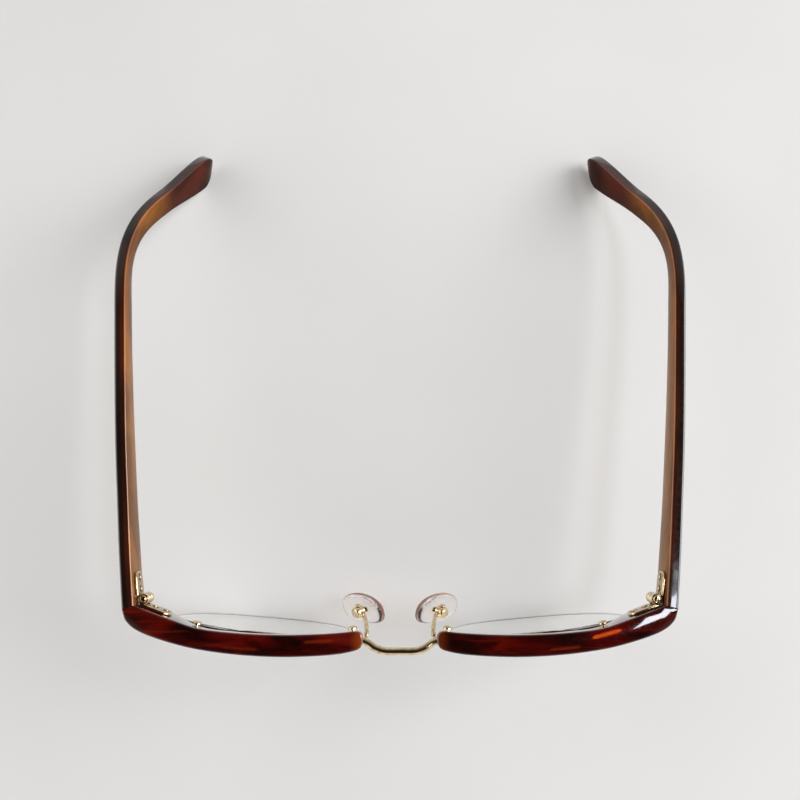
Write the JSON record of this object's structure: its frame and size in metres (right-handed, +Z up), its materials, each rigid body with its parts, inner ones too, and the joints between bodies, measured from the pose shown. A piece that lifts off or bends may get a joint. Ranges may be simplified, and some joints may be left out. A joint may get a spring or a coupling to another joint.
{
  "type": "half rim eyeglasses",
  "caption": "Half rim eyeglasses with acetate brow bars and temples, a gold metal bridge and hinges, nylon-held clear lenses and screw-in nose pads.",
  "frame": {"origin": "centre of the footprint, on the surface that the lens bottoms and temple tips stand on", "axes": "+Z up, front faces -Y, temples run back to +Y, +X to the wearer's left"},
  "size_m": [0.1528, 0.142, 0.039],
  "materials": {
    "brow_acetate": "polished translucent dark red-brown acetate",
    "temple_acetate": "polished translucent dark brown acetate",
    "gold_metal": "polished pale gold plate",
    "core_steel": "flat rolled strip",
    "lens": "clear, polished",
    "nylon": "clear monofilament",
    "pad_silicone": "clear silicone, slightly pink"
  },
  "bodies": {
    "front": {"bridge": "gold_metal", "brow_bar_right": "brow_acetate", "rim_bar_right": "gold_metal", "lens_right": "lens", "lens_cord_right": "nylon", "brow_screw_inner_right": "gold_metal", "brow_screw_outer_right": "gold_metal", "pad_arm_right": "gold_metal", "pad_box_right": "gold_metal", "pad_screw_right": "gold_metal", "hinge_front_leaf_right": "gold_metal", "front_rivet_outer_right": "gold_metal", "front_rivet_inner_right": "gold_metal", "hinge_screw_right": "gold_metal", "brow_bar_left": "brow_acetate", "rim_bar_left": "gold_metal", "lens_left": "lens", "lens_cord_left": "nylon", "brow_screw_inner_left": "gold_metal", "brow_screw_outer_left": "gold_metal", "pad_arm_left": "gold_metal", "pad_box_left": "gold_metal", "pad_screw_left": "gold_metal", "hinge_front_leaf_left": "gold_metal", "front_rivet_outer_left": "gold_metal", "front_rivet_inner_left": "gold_metal", "hinge_screw_left": "gold_metal"},
    "temple_right_arm": {"temple_right": "temple_acetate", "temple_core_right": "core_steel", "hinge_temple_leaf_right": "gold_metal", "temple_rivet_front_right": "gold_metal", "temple_rivet_rear_right": "gold_metal"},
    "pad_right_unit": {"nose_pad_right": "pad_silicone", "pad_insert_right": "gold_metal"},
    "temple_left_arm": {"temple_left": "temple_acetate", "temple_core_left": "core_steel", "hinge_temple_leaf_left": "gold_metal", "temple_rivet_front_left": "gold_metal", "temple_rivet_rear_left": "gold_metal"},
    "pad_left_unit": {"nose_pad_left": "pad_silicone", "pad_insert_left": "gold_metal"}
  },
  "joints": [
    {"name": "temple_right_fold", "type": "hinge", "parent": "front", "child": "temple_right_arm", "pos_m": [-0.0639, -0.05693, 0.03387], "axis": [0, 0, -1], "range_deg": [0, 75]},
    {"name": "pad_right_rock", "type": "hinge", "parent": "front", "child": "pad_right_unit", "pos_m": [-0.01087, -0.06164, 0.02087], "axis": [-0.2501, 0.9397, 0.2333], "range_deg": [-12, 12]},
    {"name": "temple_left_fold", "type": "hinge", "parent": "front", "child": "temple_left_arm", "pos_m": [0.0639, -0.05693, 0.03387], "axis": [0, 0, 1], "range_deg": [0, 89]},
    {"name": "pad_left_rock", "type": "hinge", "parent": "front", "child": "pad_left_unit", "pos_m": [0.01087, -0.06164, 0.02087], "axis": [0.2501, 0.9397, 0.2333], "range_deg": [-12, 12]}
  ]
}
